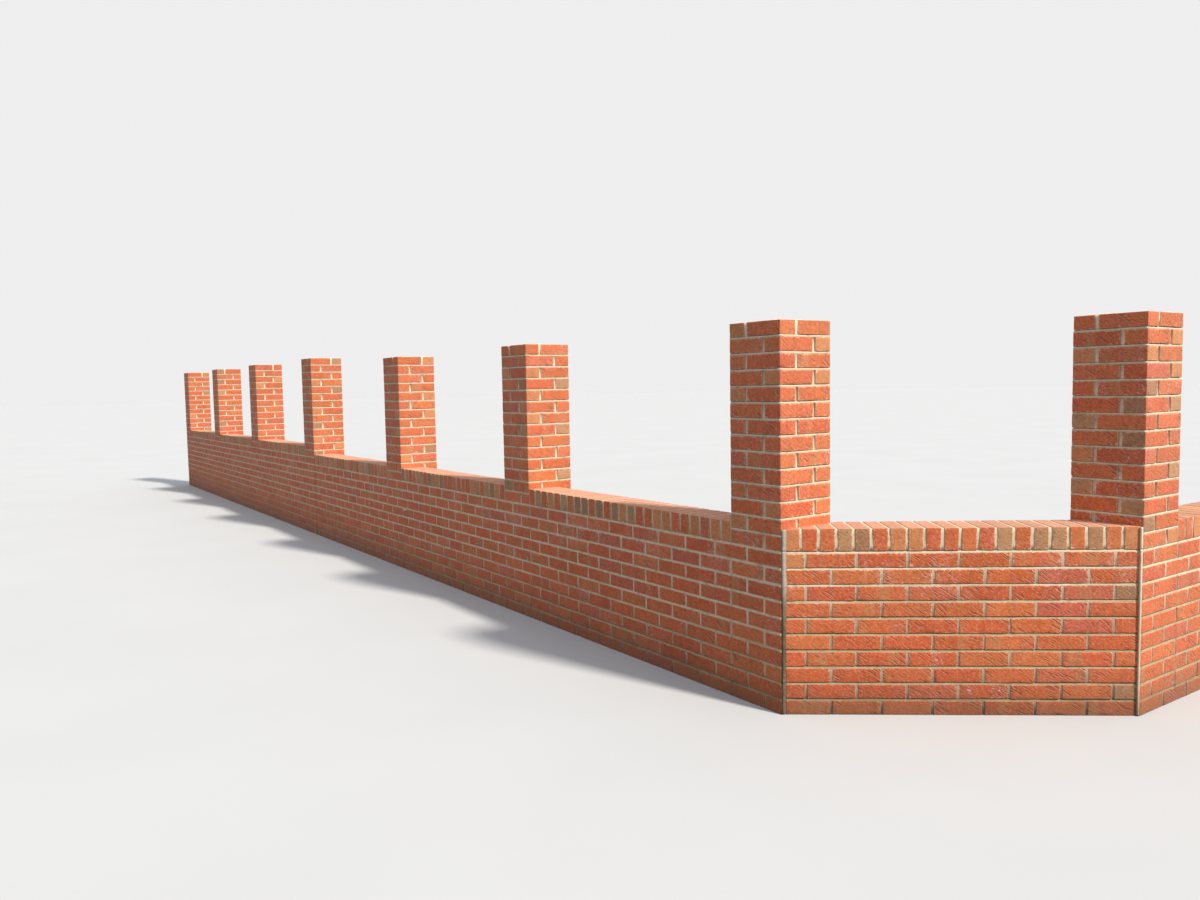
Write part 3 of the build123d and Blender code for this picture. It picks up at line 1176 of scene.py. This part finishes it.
def buildFloor():
    material, tree, shader = newMaterial("floorPale")
    position = addNode(tree, "ShaderNodeTexCoord").outputs["Object"]
    patches = noise(tree, position, floorSetting["patchScale"], 3.0)
    colour = layOn(tree, toLinear(floorSetting["colour"]), patches, floorSetting["patch"])
    colour = mixColour(tree, seenDirectly(tree), toLinear(floorSetting["bounce"]), colour)
    tree.links.new(colour, shader.inputs["Base Color"])
    shader.inputs["Roughness"].default_value = floorSetting["roughness"]
    half = floorSetting["size"] / 2
    corners = np.array([(-half, -half, 0), (half, -half, 0), (half, half, 0), (-half, half, 0)])
    floor = linkMesh("floor", corners, [[0, 1, 2, 3]], np.zeros(1, bool), 0)
    floor.data.materials.append(material)


lightSetting = {
    "keyStrength": 4.4,
    "keySoftness": 6.0,  # degrees
    "keyAzimuth": 16.0,  # degrees from the return's outward side towards the garden
    "keyElevation": 42.0,
    "keyColour": (1.0, 0.96, 0.90),
    "fillStrength": 0.74,
    "fillColour": (0.78, 0.86, 1.0),
    "backdrop": (0.86, 0.86, 0.86),
}


def buildLights():
    lamp = bpy.data.lights.new("keyLight", "SUN")
    lamp.energy, lamp.color = lightSetting["keyStrength"], lightSetting["keyColour"]
    lamp.angle = math.radians(lightSetting["keySoftness"])
    azimuth, elevation = (math.radians(lightSetting[name]) for name in ("keyAzimuth", "keyElevation"))
    flat = math.cos(elevation)
    towards = Vector((math.cos(azimuth) * flat, math.sin(azimuth) * flat, math.sin(elevation)))
    key = bpy.data.objects.new("keyLight", lamp)
    key.rotation_euler = towards.to_track_quat("Z", "Y").to_euler()
    bpy.context.scene.collection.objects.link(key)
    world = bpy.data.worlds.new("studio")
    world.use_nodes = True
    bpy.context.scene.world = world
    tree = world.node_tree
    fill = tree.nodes["Background"]
    fill.inputs["Color"].default_value = lightSetting["fillColour"] + (1.0,)
    fill.inputs["Strength"].default_value = lightSetting["fillStrength"]
    backdrop = addNode(tree, "ShaderNodeBackground", {"Color": lightSetting["backdrop"] + (1.0,)})
    mixed = {0: seenDirectly(tree), 1: fill.outputs[0], 2: backdrop.outputs[0]}
    choose = addNode(tree, "ShaderNodeMixShader", mixed)
    tree.links.new(choose.outputs[0], tree.nodes["World Output"].inputs["Surface"])


cameraSetting = {
    "lens": 27.49,
    "sensor": 36.0,
    "place": (3.070, -3.135, 1.501),
    "heading": -55.53,  # degrees from the garden direction
    "tilt": -3.89,
    "roll": -1.03,
    "farClip": 600,
}


def buildCamera():
    heading, tilt, roll = (math.radians(cameraSetting[name]) for name in ("heading", "tilt", "roll"))
    ahead = Vector((math.sin(heading) * math.cos(tilt), math.cos(heading) * math.cos(tilt), math.sin(tilt)))
    level = Vector((math.cos(heading), -math.sin(heading), 0))
    upright = level.cross(ahead)
    right = level * math.cos(roll) + upright * math.sin(roll)
    up = upright * math.cos(roll) - level * math.sin(roll)
    data = bpy.data.cameras.new("viewer")
    data.lens, data.sensor_width = cameraSetting["lens"], cameraSetting["sensor"]
    data.clip_end = cameraSetting["farClip"]
    camera = bpy.data.objects.new("viewer", data)
    turned = Matrix((right, up, -ahead)).transposed().to_4x4()
    camera.matrix_world = Matrix.Translation(Vector(cameraSetting["place"])) @ turned
    bpy.context.scene.collection.objects.link(camera)
    bpy.context.scene.camera = camera


buildFloor()
buildLights()
buildCamera()
bpy.context.scene.view_settings.view_transform = "Standard"
print("stage, lights and camera set")
